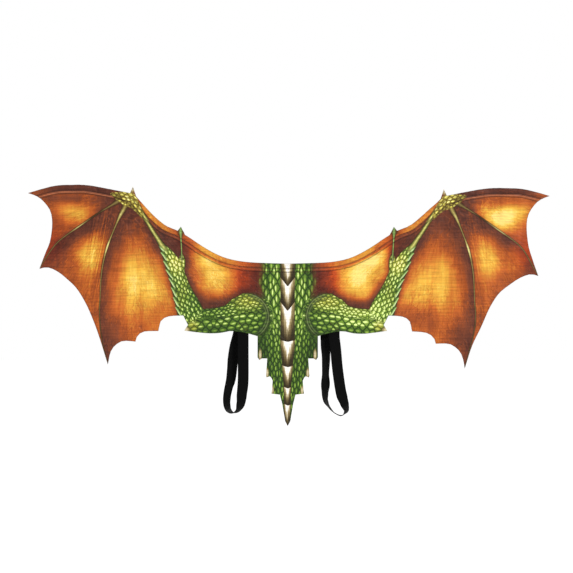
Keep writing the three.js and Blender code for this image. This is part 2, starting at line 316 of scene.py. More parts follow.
knuckle_seam = [(402, 153, 1), (386, 150, 1), (372, 141, 1), (356, 130, 1)]
top_edge = [(0, 0, 1), (45.6, 1.2, 1), (87, 3.3, 1), (114, 6.6, 1), (142.2, 13.2, 1), (169.8, 25.1, 1),
            (197.4, 41.2, 1), (225, 59.7, 1), (252, 75.4, 1), (280.2, 87.8, 1), (307.8, 110.8, 1),
            (331.2, 135.5, 1), (352.8, 160.3, 1)]
top_edge_outside = [(352.8, 160.3, 1), (404.4, 170.6, 1), (459.6, 180.5, 1), (501, 181.5, 1),
                    (532.8, 180, 1), (564, 173, 1), (598.2, 163.2, 1)]

# %% [markdown]
# The glow of each panel is one number, the heat: 0 is the dark purple-brown beside a bone, and 1
# the yellow where the most light comes through. One colour ramp turns heat into ink later, so all
# the panels belong together.

# %% Glows and shades of the four panels, and the painted light and shade of the right wing, which is lit more
glows = {
    # panel: its own heat, then its spots
    "inner": (0.43, [(165, -28, 46, 50, -14, 0.44), (156, -30, 22, 28, 0, 0.08), (88, -36, 28, 34, 0, -0.14),
                     (200, 20, 26, 30, -30, 0.12), (246, 40, 18, 44, 0, -0.18), (282, 66, 34, 34, -30, -0.34),
                     (60, -30, 18, 70, 0, -0.38), (178, 20, 28, 20, -20, 0.32), (180, -92, 50, 18, 0, -0.26),
                     (226, 46, 20, 20, 0, -0.06)]),
    "first": (0.44, [(490, 116, 46, 25, 24, 0.34), (506, 150, 56, 12, 0, -0.18), (440, 124, 22, 12, 32, 0.04),
                     (404, 140, 34, 36, 0, -0.3), (546, 120, 22, 40, 0, -0.06),
                     (545, 30, 26, 40, 20, -0.02)]),
    "second": (0.42, [(460, 24, 27, 42, 6, 0.42), (456, -40, 22, 60, 0, 0.12), (402, 112, 50, 44, 0, -0.32),
                      (500, -50, 40, 30, -40, -0.02)]),
    "third": (0.58, [(346, -40, 38, 70, 0, 0.3), (362, -50, 12, 74, 0, 0.1), (310, -54, 18, 50, -10, 0.15),
                     (284, -66, 14, 34, -16, 0.12), (362, 112, 62, 60, 0, -0.36),
                     (304, 52, 26, 44, -30, -0.26), (392, -160, 24, 40, 0, -0.22),
                     (388, -10, 12, 60, 0, -0.06), (394, -62, 12, 30, 0, 0.1), (326, -80, 16, 34, 0, 0.08),
                     (336, -94, 6, 50, 0, -0.07), (350, -150, 30, 30, 0, -0.06)]),
}
right_wing_painted_light = [(500, 118, 66, 36, 20, 0.36), (165, -34, 58, 50, 0, 0.2), (462, 26, 26, 40, 0, 0.02),
               (340, -50, 40, 60, 0, -0.07), (212, 12, 30, 34, 0, 0.14), (318, -130, 44, 30, 0, -0.14),
               (364, 34, 30, 26, 0, -0.1), (524, 30, 28, 30, 0, 0.26),
               (220, 40, 28, 34, 0, 0.22), (230, -10, 14, 60, 0, 0.2), (446, 132, 22, 16, 0, 0.12),
               (346, -104, 34, 26, 0, -0.12), (282, -112, 24, 26, 0, -0.1), (156, -30, 26, 24, 0, -0.12),
               (186, -76, 22, 12, 0, 0.1)]
red_spots = [(92, -36, 32, 44, 0, 1), (92, -30, 20, 50, 0, 1), (232, 48, 24, 26, 0, 1),
             (545, 40, 30, 46, 20, 1)]

# %% [markdown]
# Scales lie in staggered rows, like slates on a roof. Two numbers that grow along the two
# diagonals of the rows put one scale on each whole pair. The length and the width of a scale are
# what divides the way along a limb and the way across it.


# %% The print, as numbers on the vertices
def staggered(along, beside, length, width):
    """The two diagonal counts of a field of scales with this length and width."""
    return along / length + beside / width, along / length - beside / width


near_seam, far_seam = 11.5, 19.5  # the two rows of stitches lie this far below the top edge
body_half = 58  # from the middle to the edge of the body's scales
upper_ridge = 9  # the small scales of the upper arm begin this far above its middle
fan_across, fan_up = 366, 160  # the long folds and streaks fan out from here
plate_tips = [0, 53, 109, 179, 237, 286, 325, 372, 440]  # how far down each pale plate of the body ends
tip_spots = [(63, -208, 4, 15, 0, 1), (47, -250, 4, 13, 0, 1), (35, -289, 4, 12, 0, 1),
             (356, 178, 8, 17, 0, 1), (236, -151, 13, 8, 0, 1), (245, 92, 4, 8, 0, 1)]
yellow_spots = [(256, 4, 24, 26, 0, 1), (88, -84, 40, 18, 0, 0.85), (218, -143, 12, 12, 0, 1),
                (235, -50, 16, 60, 20, 0.3)]
bone_spots = [(414, 39, 9, 20, 0, 0.6), (482, 86, 22, 14, 0, 0.34), (384, 112, 14, 18, 0, 0.3),
              (440, 112, 16, 10, 0, -0.9), (244, 48, 9, 40, 0, 0.14)]


def print_fields(points):
    """All that the printed cloth's material needs to know at each vertex."""
    across, up = on_pattern(points)
    on_right = points[:, 0] > 0

    def spot(*row):
        return spots(across, up, [row])

    f_along, f_left, f_half, f_past = beside_path(across, up, forearm)
    u_along, u_left, u_half, u_past = beside_path(across, up, upper_arm)
    _, r_left, r_half, r_past = beside_path(across, up, thumb_root)
    to_forearm = np.minimum(np.hypot(f_left, f_past) - f_half, np.hypot(r_left, r_past) - r_half)
    to_upper = np.hypot(u_left, u_past) - u_half
    to_arm = np.minimum(to_forearm, to_upper)
    on_upper = to_upper < to_forearm
    on_tail = step_up(-140, -156, up)
    fields = {"arm": to_arm, "body": across - body_half - 3 * np.sin(up / 9) - 30 * on_tail}

    bones = {}
    for name, rows in (("finger_2", finger_2), ("finger_3", finger_3), ("thumb", thumb)):
        along, left, half, past = beside_path(across, up, rows)
        bones[name] = (along, left)
        shown = np.where(left < 0, -1, 1) * np.hypot(left, past) / (0.8 * half)
        fields[name] = np.clip(shown, -20, 20)
    along_2, left_2 = bones["finger_2"]
    left_3 = bones["finger_3"][1]
    k_along, k_left, k_half, k_past = beside_path(across, up, knuckle)
    fields["knuckle"] = np.hypot(k_left, k_past) - k_half

    # Which panel a vertex lies in, and its heat
    panel = {name: own + spots(across, up, rows) for name, (own, rows) in glows.items()}
    over_2, over_3 = step_up(-1, 1, left_2), step_up(-1, 1, left_3)
    beyond_forearm = step_up(-1, 1, f_left)
    outside = over_3 * (over_2 * panel["first"] + (1 - over_2) * panel["second"])
    outside += (1 - over_3) * over_2 * panel["first"]
    inside = beyond_forearm * panel["third"] + (1 - beyond_forearm) * panel["inner"]
    beyond_knuckle = np.maximum(over_3, over_2 * step_up(352, 372, across))
    heat = beyond_knuckle * outside + (1 - beyond_knuckle) * inside
    # The right wing hangs at another angle and is lit more: painted light and shade on its skin
    heat += on_right * spots(across, up, right_wing_painted_light)
    heat -= (1 - over_2) * over_3 * fade(left_2, 29) * (0.16 + 0.28 * step_up(270, 60, along_2))
    heat -= 0.12 * over_2 * over_3 * fade(left_2, 9)
    heat -= 0.36 * (1 - over_3) * fade(left_3, 25) * (up < 130)
    heat -= 0.3 * fade(np.maximum(0, to_arm), 13) * (1 - beyond_forearm)
    heat -= 0.24 * fade(np.maximum(0, to_arm), 9) * beyond_forearm

    # The band above the seam of the hem: maroon beyond the knuckle, and orange on the inside
    _, t_left, _, t_past = beside_path(across, up, top_edge)
    _, o_left, _, o_past = beside_path(across, up, top_edge_outside)
    from_top = np.minimum(np.hypot(t_left, t_past), np.hypot(o_left, o_past))
    fields["hem"] = from_top
    in_band = step_up(far_seam, 15, from_top)
    band = np.interp(across, [60, 90, 140, 190, 225, 250, 280, 330, 350, 372, 420, 540, 580],
                     [0.3, 0.5, 0.7, 0.76, 0.52, 0.44, 0.68, 0.62, 0.3, 0.12, 0.11, 0.2, 0.42])
    low_band = np.interp(across, [60, 90, 140, 190, 225, 250, 280, 330],
                         [0.26, 0.42, 0.56, 0.52, 0.4, 0.3, 0.2, 0.16])
    in_low_band = in_band * step_up(near_seam - 1, near_seam + 1, from_top) * (across < 352)
    heat = np.maximum(heat, 0.16 + 0.1 * heat)
    heat = heat * (1 - in_band) + band * in_band
    fields["glow"] = heat * (1 - in_low_band) + low_band * in_low_band
    fields["red"] = np.clip(spots(across, up, red_spots), 0, 1) * (1 - 0.6 * in_band)
    # A painted highlight along the raised band of the hem on the outer wing
    fields["welt"] = step_up(350, 380, across) * fade(from_top - 16.5, 1.4)

    # Pleats beside the third finger, drawn as lines of painted highlight and shade on the folds,
    # fewer on the right wing
    fields["pleat_line"] = (across + 0.2 * up) / 5.5
    fields["pleats"] = (spot(424, 26, 34, 110, 0, 1) * (1 - 0.5 * on_right) * (1 - over_2)
                        * (1 - in_band) * (0.25 + 0.75 * over_3))

    # Scales: forearm, upper arm with its ridge, body and knuckle each have a size of their own.
    # Towards the tail the body's rows come closer together
    rows_down = np.interp(up, [-420, -110, 200], [-22, -4.4, 8])
    counts = staggered(f_along, f_left, 12.5, 13.5)
    for here, own in (
            (on_upper, staggered(u_along, u_left, 18, 20 - 4 * step_up(90, 140, u_along))),
            (on_upper & (u_left > upper_ridge), staggered(u_along, u_left, 11.5, 12)),
            (to_arm > 9, staggered(rows_down, across, 1, np.interp(up, [-170, -110], [12, 16]))),
            ((np.hypot(across - 362, up - 140) < 60) & (fields["knuckle"] < 8),
             staggered(k_along, k_left, 12, 13))):
        counts = [np.where(here, new, old) for new, old in zip(own, counts)]
    fields["scale_p"], fields["scale_q"] = counts

    # Blades along the outer side of the forearm: their count is slanted and curved
    outside_limb = f_left - f_half
    fields["blade"] = (f_along + 2.3 * outside_limb - 0.08 * outside_limb ** 2) / 22
    fields["blade_reach"] = (outside_limb + 7.5) / 12
    fields["blade_zone"] = step_up(120, 132, f_along) * step_up(300, 285, f_along) * (f_left > 0)
    fields["rod"] = np.clip(f_left / f_half, -3, 3)
    fields["rod_zone"] = step_up(150, 118, f_along) * step_up(-4, 12, f_along)

    # Yellow light, and how much light the scales of the limb and of the body get
    shoulder_out = np.hypot(across - 95, up + 121)
    # Warm is the print's yellow; on the right wing's upper arm it also adds painted light, as that wing is
    # lit more
    fields["warm"] = np.clip(spots(across, up, yellow_spots) + (f_along < 110)
                             + on_right * spot(170, -96, 50, 24, 0, 0.4), 0, 1)
    round_limb = np.clip(-to_arm / np.where(on_upper, 34, 14), 0, 1)
    low_side = np.where(on_upper, step_up(-30, 20, u_left), 1)
    in_arm = (0.45 + 0.4 * round_limb ** 0.6 + 0.25 * low_side + 0.05 * ~on_upper
              - 0.1 * ~on_upper * step_up(150, 230, f_along))
    in_arm *= 1 - 0.4 * step_up(34, 52, shoulder_out) * step_up(100, 84, across)
    in_arm *= 1 - 0.6 * on_upper * fade(u_left - upper_ridge, 2)
    in_arm += spot(254, -2, 20, 28, 0, 0.55)
    # Painted light on the upper arm of the right wing, which is lit more
    in_arm *= 1 + on_right * spot(180, -108, 60, 40, 0, 0.9)
    in_trunk = (0.68 + 0.42 * step_up(62, 25, across) + 0.15 * (across > 300)
                - 0.42 * step_up(-110, -230, up))
    _, s_left, _, s_past = beside_path(across, up, knuckle_seam)
    in_trunk *= 1 - 0.95 * fade(np.hypot(s_left, s_past), 3.4)
    # The knuckle's print is brighter, and the right wing gets a painted shade beside the body
    in_trunk += spot(358, 146, 16, 14, 0, 0.5) - on_right * spot(56, -14, 14, 26, 0, 0.3)
    fields["light"] = np.where(to_arm < 0, in_arm, in_trunk)
    bone_light = 0.36 + spots(across, up, bone_spots) - 0.2 * step_up(-60, -160, up)
    fields["bone_light"] = np.clip(bone_light, 0, 1)

    # The ring round the shoulder, the plates with their points, and the pale tips
    fields["ring"] = shoulder_out - 50
    fields["ring_zone"] = step_up(96, 80, across) * step_up(-50, -66, up) * step_up(-168, -150, up)
    plate_half = np.interp(-up, [0, 180, 240, 290, 330, 412], [17, 17, 12.5, 9, 9, 8])
    fields["plate_across"] = across / plate_half
    point = np.interp(-up, [112, 150], [22, 4])
    fields["plate"] = np.interp(-up + point * np.clip(across / plate_half, 0, 1), plate_tips, range(9))
    fields["pale"] = np.clip(spots(across, up, tip_spots), 0, 1)

    # Round the knuckle, in steps of a tenth of a radian, and away from it, in decimetres
    fields["turn"] = np.arctan2(across - fan_across, fan_up - up) * 10
    fields["reach"] = np.hypot(across - fan_across, up - fan_up) / 100
    return fields


# %% [markdown]
# ## The cloth's mesh
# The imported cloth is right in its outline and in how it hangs, but its faces are 20 mm wide. So the
# printed face of a copy is flattened, joined to one face with the exact outline, and sliced into
# small squares with planes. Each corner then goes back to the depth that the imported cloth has
# there. Slicing keeps the sharp claw points, which a remesh would round off.


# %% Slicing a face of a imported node
fine_step, smooth_passes = 2.6 * MM, 60  # the squares' side, and how often their depth is smoothed


def slice_up(shape, axis, cuts):
    """Cuts a flat mesh along planes, one by one, each meeting only what lies beyond the last."""
    normal = Vector((axis == 0, 0, axis == 2))
    beyond = shape.faces[:]
    for cut in cuts:
        touched = {item for face in beyond for item in (face, *face.edges, *face.verts)}
        done = bmesh.ops.bisect_plane(shape, geom=list(touched), dist=1e-7, plane_co=normal * cut,
                                      plane_no=normal)
        beyond = [item for item in done["geom"] if isinstance(item, bmesh.types.BMFace)
                  and item.calc_center_median()[axis] > cut]


def fine_face(node, facing, step):
    """The face of a packed layer of cloth that looks along Y by facing, in small squares."""
    shape = bmesh.new()
    shape.from_mesh(frame["nodes"][node].data)
    bmesh.ops.remove_doubles(shape, verts=shape.verts, dist=0.01 * MM)
    shape.normal_update()
    others = [face for face in shape.faces if face.normal.y * facing < 0.5]
    bmesh.ops.delete(shape, geom=others, context="FACES")
    packed_face = BVHTree.FromBMesh(shape)
    bmesh.ops.scale(shape, vec=(1, 0, 1), verts=shape.verts)
    bmesh.ops.dissolve_faces(shape, faces=shape.faces[:], use_verts=False)
    low, high = (Vector(map(pick, zip(*(v.co for v in shape.verts)))) for pick in (min, max))
    print(node, "outline of", len(shape.verts), "points in", len(shape.faces), "face")
    for axis in (0, 2):
        count = int((high[axis] - low[axis]) / step)
        slice_up(shape, axis, [low[axis] + (i + 0.5) * step for i in range(count + 1)])
    for vertex in shape.verts:
        start = Vector((vertex.co.x, facing, vertex.co.z))
        found = packed_face.ray_cast(start, Vector((0, -facing, 0)))[0]
        if found is None:
            lift = Vector((vertex.co.x, 0.01, vertex.co.z))
            found = packed_face.find_nearest(lift)[0]
        vertex.co.y = found.y
    for _ in range(round(smooth_passes * (fine_step / step) ** 2)):
        bmesh.ops.smooth_vert(shape, verts=shape.verts, factor=0.5, use_axis_x=False,
                              use_axis_y=True, use_axis_z=False)
    return shape


cloth_step = fine_step
cloth_shape = fine_face("wing_sheet", -1, cloth_step)

# %% [markdown]
# Real cloth is never smooth. The hem is a double layer that stands up a little, with two pressed
# seams. Soft folds run from the knuckle along the fingers, small crumples lie under the knuckle,
# and the panels hold shallow waves. Together they stand out 2.4 mm at most. They are sums of sine
# waves whose directions come from a fixed draw, so that they come out the same each time.

# %% Folds and waves
chance = np.random.default_rng(7)


def ripples(u, v, wavelength, number=7, stretch=1.0):
    """A field of waves between about -1 and 1: wavelength across, and longer along v by stretch."""
    total = np.zeros_like(u)
    for _ in range(number):
        angle = chance.uniform(0, math.tau)
        size = wavelength * chance.uniform(0.7, 1.5)
        phase = chance.uniform(0, math.tau)
        total += np.sin(math.tau * (u * math.cos(angle) + v * math.sin(angle) / stretch) / size + phase)
    return total / math.sqrt(number)


def folds(points, fields):
    """How far each vertex stands out from the even cloth, in metres, away from the wearer."""
    x, z = points[:, 0] / MM, points[:, 2] / MM
    across, up = on_pattern(points)
    skin = step_up(2, 30, fields["arm"]) * step_up(60, 90, across)
    long_folds = np.sin(11.5 * fields["turn"] + 2 * ripples(x, z, 150, 4))
    long_folds *= fade(100 * fields["reach"] - 120, 90)
    crumple = ripples(x, z, 24, 9) * fade(np.hypot(across - 352, up - 92), 52)
    wave = ripples(x, z, 120, 6)
    slack = ripples(x, z, 46, 8, 2.2)
    tip_folds = ripples(x, z, 17, 5, 5) * fade(np.hypot(x - 468, z - 170), 60)
    hem = fields["hem"]
    puff = 0.55 * np.sin(np.clip(hem / near_seam, 0, 1) * math.pi)
    puff += 0.45 * np.sin(np.clip((hem - near_seam) / (far_seam - near_seam), 0, 1) * math.pi)
    seams = fade(hem - near_seam, 1.7) + fade(hem - far_seam, 1.7)
    pull = ripples(x, z, 11, 6) * fade(hem - 16, 12)
    total = (skin * (0.5 * long_folds + 0.75 * crumple + 0.55 * slack) + 0.5 * wave
             + 0.8 * tip_folds * skin + puff - 0.45 * seams + 0.22 * pull)
    return np.clip(total, -1.2, 2.4) * MM


# %% [markdown]
# ## Ink on polyester
# The cloth is satin-woven polyester with sublimated ink: the dye is in the thread, so the cloth
# keeps its soft gloss and its weave shows through every colour. The drawing reads the numbers on
# the vertices and is made from the bottom up: skin, scales, bones, plates. Its edges come from
# distances in the material, so they stay crisp. Each step is a function of a node tree, because the
# back of the cloth shows the same drawing again, faintly.


# %% Ink: skin between the bones
def stripe(tree, value, level, *ends, mode="LINEAR"):
    """A stripe where a number meets a level. The four ends: near, far, and the values there."""
    off = add(tree, "Math ABSOLUTE", add(tree, "Math SUBTRACT", value, level))
    return add(tree, "MapRange " + mode, off, *ends)


def draw_skin(tree):
    """The colour of the glowing skin, and the height of its creases."""
    place = add(tree, "TexCoord").outputs["Object"]
    fan = add(tree, "CombineXYZ", "turn", "reach")
    streaks = add(tree, "TexNoise", {"Vector": fan, "Scale": 1.6, "Detail": 2})
    upright = add(tree, "Mapping", {"Vector": place, "Scale": (150, 1, 14)})
    rain = add(tree, "TexNoise", {"Vector": upright, "Scale": 1, "Detail": 3})
    clouds = add(tree, "TexNoise", {"Vector": place, "Scale": 30, "Detail": 4})
    # Creases: long ones that fan out from the knuckle, and curled ones near it, with painted shade
    # in their valleys and painted highlight on their ridges and curls, besides their relief
    long_ones = add(tree, "TexNoise", {"Vector": fan, "Scale": 3.1, "Detail": 3, "Distortion": 0.6})
    curled = add(tree, "TexNoise", {"Vector": place, "Scale": 45, "Detail": 1, "Distortion": 1.2})
    nearness = add(tree, "MapRange", "reach", 0.8, 1.4, 1.0, 0.2)
    creases = add(tree, "Mix", {0: nearness, 2: long_ones, 3: curled})
    patches = add(tree, "TexNoise", {"Vector": place, "Scale": 17, "Detail": 2})
    patches = add(tree, "MapRange", patches, 0.36, 0.6, 0.25, 1.0)
    lines = []
    for noise, level, width in ((creases, 0.5, 0.035), (creases, 0.56, 0.03), (curled, 0.52, 0.12)):
        line = stripe(tree, noise, level, 0.0, width, 1.0, 0.0, mode="SMOOTHSTEP")
        lines.append(add(tree, "Math MULTIPLY", line, patches))
    valley, ridge, curls = lines
    curls = add(tree, "Math MULTIPLY", curls, nearness)
    # Pleats beside the third finger: fine lines of painted highlight and painted shade on the folds
    pleat_fan = add(tree, "CombineXYZ", "pleat_line", "reach")
    pleats = add(tree, "TexNoise", {"Vector": pleat_fan, "Scale": 1, "Detail": 1, "Distortion": 0.6})
    pleats = add(tree, "MapRange", pleats, 0.36, 0.64, -0.12, 0.26)
    heat = add(tree, "Math ADD", "glow", -0.29)
    # Streaks, rain and clouds are print; the crease lines and the pleats add painted shade and highlight
    for texture, weight in ((streaks, 0.13), (rain, 0.16), (clouds, 0.24), (valley, -0.07), (ridge, 0.08),
                            (curls, 0.13), (pleats, "pleats")):
        heat = add(tree, "Math MULTIPLY_ADD", texture, weight, heat)
    plain = add(tree, "ValToRGB", heat, stops=[
        (0.0, "#381a14"), (0.15, "#582d20"), (0.3, "#783c22"), (0.42, "#98481c"), (0.54, "#b95e22"),
        (0.68, "#cd812d"), (0.82, "#e0a83c"), (0.92, "#efc354"), (1.0, "#f9d577")])
    red = add(tree, "Math MULTIPLY", "red", 0.6)
    skin = add(tree, "Mix RGBA", {0: red, 6: plain, 7: "#ff9078"}, blend_type="MULTIPLY")
    height = add(tree, "Math MULTIPLY_ADD", creases, 2.4, ridge)
    height = add(tree, "Math SUBTRACT", height, valley)
    height = add(tree, "Math MULTIPLY_ADD", pleats, "pleats", height)
    return skin, height


# %% [markdown]
# A scale is a small dome: mid green, with a thin dark border where the next one overlaps it and a
# narrow light along its ridge. A cell pattern on the diagonal counts gives each scale its distance
# from its middle, its distance from its border and a random number of its own. From here on, each
# step adds layers of ink to a list.


# %% Ink: scales
scale_stops = (0.0, 0.14, 0.34, 0.5, 0.75, 1.0)
scale_charts = (("#12200a", "#243a12", "#43611e", "#62832b", "#9ab84c", "#d8ea92"),  # body
                ("#2a3010", "#4e561c", "#80862e", "#a8aa3e", "#d4d460", "#f8f4a4"),  # lit limb
                ("#33250e", "#5e4c1c", "#948436", "#bcb04a", "#dfd566", "#f8f2ae"))  # knuckle


def draw_scales(tree, layers):
    """Body and limbs. Returns the ink of the knuckle's scales and a ragged noise."""
    cells = add(tree, "CombineXYZ", "scale_p", "scale_q")
    same = {"Vector": cells, "Scale": 1.0, "Randomness": 0.62}
    scale = add(tree, "TexVoronoi", same, voronoi_dimensions="2D")
    border = add(tree, "TexVoronoi", same, voronoi_dimensions="2D", feature="DISTANCE_TO_EDGE")
    own = add(tree, "SeparateColor", scale.outputs["Color"])
    offset = add(tree, "VectorMath SUBTRACT", cells, scale.outputs["Position"])
    lengthways = add(tree, "VectorMath DOT_PRODUCT", offset, (0.98, 0.98, 0))
    sideways = add(tree, "VectorMath DOT_PRODUCT", offset, (3.2, -3.2, 0))
    lens = add(tree, "CombineXYZ", lengthways.outputs["Value"], sideways.outputs["Value"])
    lens = add(tree, "VectorMath DISTANCE", lens, (0.0, 0.25, 0.0))
    shine = add(tree, "MapRange SMOOTHSTEP", lens.outputs["Value"], 0.05, 1.1, 0.55, 0.0)
    spread = add(tree, "Math MULTIPLY_ADD", own, 0.75, 0.66)
    dome = add(tree, "MapRange SMOOTHSTEP", border, 0.0, 0.2, 0.13, 0.42)
    lit = add(tree, "Math MULTIPLY_ADD", shine, spread, dome)
    lit = add(tree, "Math MULTIPLY", lit, "light")
    green, yellow, knob = (add(tree, "ValToRGB", lit, stops=list(zip(scale_stops, chart)))
                           for chart in scale_charts)
    scaled = add(tree, "Mix RGBA", {0: "warm", 6: green, 7: yellow})

    # The body, with a ragged soft border, then a painted highlight on the raised band along the hem
    # of the outer wing
    place = add(tree, "TexCoord").outputs["Object"]
    ragged = add(tree, "TexNoise", {"Vector": place, "Scale": 160, "Detail": 3})
    ragged = add(tree, "Math MULTIPLY_ADD", ragged, 10, -5)
    body_edge = add(tree, "Math ADD", "body", ragged)
    on_body = add(tree, "MapRange SMOOTHSTEP", body_edge, 12.0, -8.0)
    layers.append((on_body, green))
    welt = add(tree, "Math MULTIPLY", "welt", 0.5)
    layers.append((welt, "#c67a52"))

    # The limb, with a dark line round it
    arm_line = add(tree, "MapRange SMOOTHSTEP", "arm", 3.4, 0.4, 0.0, 0.7)
    on_arm = add(tree, "MapRange", "arm", 0.7, -0.7)
    layers.append((arm_line, "#2c2412"))
    layers.append((on_arm, scaled))

    # Two thin folds of skin round the shoulder, in a shade
    for radius, far, near, strength, ink in ((0.0, 12.0, 3.0, 0.45, "#33441f"),
                                             (-4.0, 1.5, 0.2, 0.2, "#a5b074"),
                                             (1.0, 1.5, 0.2, 0.34, "#a5b074")):
        fold = stripe(tree, "ring", radius, far, near, 0.0, strength)
        layers.append((add(tree, "Math MULTIPLY", fold, "ring_zone"), ink))
    return knob, ragged


# %% [markdown]
# The leading bone is a smooth rod with a light ridge. Below it, blades lie along the outer side of
# the forearm. The finger bones are thinner rods with a dark rim, and a cluster of yellow scales
# covers the knuckle where they meet.


# %% Ink: bones and blades
def draw_bones(tree, layers, knob, ragged):
    """The leading bone, the blades, the fingers, the thumb and the knuckle."""
    ridge = add(tree, "Math ABSOLUTE", "rod")
    rod_colour = add(tree, "ValToRGB", ridge, stops=[
        (0.0, "#cfcb78"), (0.35, "#a8a44e"), (0.75, "#6a662c"), (1.0, "#3a3818")])
    rod_on = add(tree, "MapRange", ridge, 1.1, 0.9)
    rod_on = add(tree, "Math MULTIPLY", rod_on, "rod_zone")
    layers.append((rod_on, rod_colour))

    # Each blade is a slanted leaf that narrows to its tip, over a shade
    shade = add(tree, "MapRange", "blade_reach", 0.05, 0.4, 0.0, 0.8)
    outside = add(tree, "MapRange", "blade_reach", 0.72, 0.95, 1.0, 0.0)
    for zone in ("blade_zone", outside):
        shade = add(tree, "Math MULTIPLY", shade, zone)
    layers.append((shade, "#2a3f16"))
    count = add(tree, "Math FRACT", "blade")
    middle = add(tree, "Math SUBTRACT", count, 0.5)
    middle = add(tree, "Math ABSOLUTE", middle)
    half = add(tree, "MapRange", "blade_reach", 0.5, 1.0, 0.4, -0.02)
    rooted = add(tree, "MapRange", "blade_reach", 0.02, 0.4)
    half = add(tree, "Math MULTIPLY", half, rooted)
    blade = add(tree, "Math SUBTRACT", half, middle)
    blade = add(tree, "MapRange", blade, 0.0, 0.05)
    blade = add(tree, "Math MULTIPLY", blade, "blade_zone")
    blade_colour = add(tree, "ValToRGB", count, stops=[
        (0.08, "#2f4c1a"), (0.26, "#527830"), (0.5, "#a2c070"), (0.76, "#d2e2a4"), (0.9, "#8aa65a")])
    layers.append((blade, blade_colour))

    for name, chart in (("finger_2", "#847340"), ("finger_3", "#9c8a48"), ("thumb", "#7ea456")):
        off = add(tree, "Math ABSOLUTE", name)
        rim = add(tree, "MapRange SMOOTHSTEP", off, 2.1, 1.0, 0.0, 0.75)
        rod = add(tree, "MapRange", off, 1.15, 0.75)
        shine = add(tree, "MapRange", off, 1.1, 0.0, -0.3, 0.2)
        shine = add(tree, "Math ADD", shine, "bone_light")
        rod_colour = add(tree, "ValToRGB", shine, stops=[
            (0.0, "#35240f"), (0.3, "#5c4824"), (0.6, chart), (1.0, "#e2d98a")])
        layers.append((rim, "#33200f"))
        layers.append((rod, rod_colour))

    edge = add(tree, "Math MULTIPLY_ADD", ragged, 0.5, "knuckle")
    knob_on = add(tree, "MapRange", edge, 1.0, -1.0)
    layers.append((knob_on, knob))


# %% [markdown]
# Down the middle of the body, each pale plate shows a white wedge that narrows to the plate's tip,
# with brown grain beside it. Claws and the spikes of the tail are pale in the same way.


# %% Ink: plates and claws
def draw_plates(tree, layers):
    """The plates and the pale tips."""
    plate = add(tree, "Math FRACT", "plate")
    grain = add(tree, "Mapping", {"Vector": add(tree, "TexCoord").outputs["Object"], "Scale": (360, 1, 46)})
    grain = add(tree, "TexNoise", {"Vector": grain, "Scale": 1, "Detail": 2})
    grain = add(tree, "Math MULTIPLY_ADD", grain, 0.9, "plate_across")
    wedge = add(tree, "Math MULTIPLY_ADD", plate, 1.05, -0.98)
    from_wedge = add(tree, "Math ADD", grain, wedge)
    plate_colour = add(tree, "ValToRGB", from_wedge, stops=[
        (0.0, "#f4f0e8"), (0.12, "#dacdb0"), (0.26, "#a5946a"), (0.5, "#75643c"), (0.78, "#4a3e26"),
        (0.95, "#33301c")])
    low_end = add(tree, "MapRange", plate, 0.5, 0.95, 0.0, 0.85)
    beside_wedge = add(tree, "MapRange", from_wedge, 0.1, 0.35)
    low_end = add(tree, "Math MULTIPLY", low_end, beside_wedge)
    plate_colour = add(tree, "Mix RGBA", {0: low_end, 6: plate_colour, 7: "#2d2110"})
    plate_on = add(tree, "MapRange", "plate_across", 1.06, 0.94)
    layers.append((plate_on, plate_colour))
    pale_on = add(tree, "MapRange SMOOTHSTEP", "pale", 0.25, 0.7, 0.0, 0.9)
    pale_colour = add(tree, "ValToRGB", "pale", stops=[
        (0.3, "#6f5c34"), (0.6, "#a08c5c"), (0.9, "#d2c4a0")])
    layers.append((pale_on, pale_colour))


# %% [markdown]
# Each step above added layers: how much of an ink, and which ink. They are laid on the skin in turn.


# %% Ink: the whole drawing
def draw_print(tree):
    """The colour of the whole drawing, and the height of the creases."""
    painted, creases = draw_skin(tree)
    layers = []
    draw_bones(tree, layers, *draw_scales(tree, layers))
    draw_plates(tree, layers)
    for share, ink in layers:
        painted = add(tree, "Mix RGBA", {0: share, 6: painted, 7: ink})
    return painted, creases


# %% [markdown]
# ## Weave and seams
# Satin has fine threads, some thicker than others, which show as short level lines. The real
# threads are 0.2 mm apart, too fine for this picture, so they are drawn 2.4 mm apart. The cloth is
# darker within about 2 mm of its cut edge. The pressed seams hold a painted shadow, and the raised
# band between them a painted highlight.


# %% Finishing a cloth material
weave_pitch = 0.75 * math.pi * MM  # about 2.4 mm


